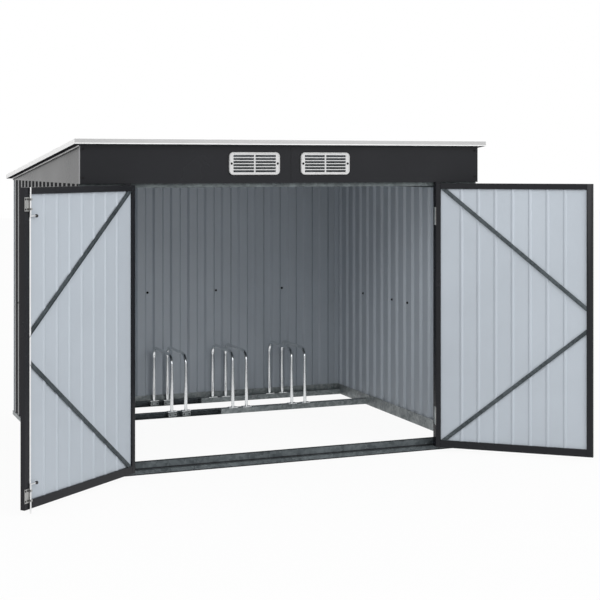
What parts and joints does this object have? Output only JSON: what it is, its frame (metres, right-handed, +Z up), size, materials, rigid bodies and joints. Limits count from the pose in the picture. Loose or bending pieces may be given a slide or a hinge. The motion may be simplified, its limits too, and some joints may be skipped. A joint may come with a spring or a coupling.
{
  "type": "bike shelter",
  "caption": "Metal bike shed with a pent roof, ribbed walls, louvred fascia vents, two hinged doors with braces and barrel bolts, and wheel hoops on floor beams.",
  "frame": {"origin": "middle of the front sill's underside, on the ground", "axes": "+X to the right seen from the doors, +Y to the back wall, +Z up"},
  "size_m": [2.7226, 2.3338, 1.5359],
  "materials": {
    "charcoal_paint": "satin",
    "door_sheet": "satin",
    "white_paint": "satin",
    "white_plastic": "matte",
    "galvanised_steel": "satin",
    "bright_steel": "satin"
  },
  "bodies": {
    "shed": {"front_sill": "galvanised_steel", "back_base_rail": "galvanised_steel", "left_base_rail": "galvanised_steel", "right_base_rail": "galvanised_steel", "floor_cross_beams": "galvanised_steel", "wheel_hoops_1": "galvanised_steel", "wheel_hoops_2": "galvanised_steel", "wheel_hoops_3": "galvanised_steel", "wheel_hoops_4": "galvanised_steel", "left_wall": "charcoal_paint", "right_wall": "charcoal_paint", "back_wall": "charcoal_paint", "front_left_panel": "charcoal_paint", "front_right_panel": "charcoal_paint", "front_fascia": "charcoal_paint", "left_gable": "charcoal_paint", "right_gable": "charcoal_paint", "fascia_vents": "white_plastic", "corner_posts": "galvanised_steel", "door_jambs": "charcoal_paint", "header_rail": "galvanised_steel", "wall_top_rails": "galvanised_steel", "roof_sheet": "white_paint", "roof_beam": "galvanised_steel", "front_roof_trim": "white_paint", "back_roof_trim": "white_paint", "side_roof_trims": "white_paint", "jamb_hinge_leaves": "bright_steel"},
    "left_door": {"left_door_hinge_stile": "charcoal_paint", "left_door_free_stile": "charcoal_paint", "left_door_top_rail": "charcoal_paint", "left_door_bottom_rail": "charcoal_paint", "left_door_skin": "door_sheet", "left_door_braces": "galvanised_steel", "left_door_hinge_leaves": "bright_steel", "bolt_plates": "bright_steel"},
    "right_door": {"right_door_hinge_stile": "charcoal_paint", "right_door_free_stile": "charcoal_paint", "right_door_top_rail": "charcoal_paint", "right_door_bottom_rail": "charcoal_paint", "right_door_skin": "door_sheet", "right_door_braces": "galvanised_steel", "right_door_hinge_leaves": "bright_steel"},
    "top_bolt": {"top_bolt_rod": "bright_steel"},
    "bottom_bolt": {"bottom_bolt_rod": "bright_steel"}
  },
  "joints": [
    {"name": "left_door_hinge", "type": "hinge", "parent": "shed", "child": "left_door", "pos_m": [-0.771, -0.042, 0.6], "axis": [0, 0, 1], "range_deg": [-30, 140]},
    {"name": "right_door_hinge", "type": "hinge", "parent": "shed", "child": "right_door", "pos_m": [0.771, -0.042, 0.6], "axis": [0, 0, -1], "range_deg": [-30, 140]},
    {"name": "top_bolt_slide", "type": "slide", "parent": "left_door", "child": "top_bolt", "axis": [0, 0, 1], "range_m": [0, 0.018]},
    {"name": "bottom_bolt_slide", "type": "slide", "parent": "left_door", "child": "bottom_bolt", "axis": [0, 0, -1], "range_m": [-0.02, 0.004]}
  ]
}
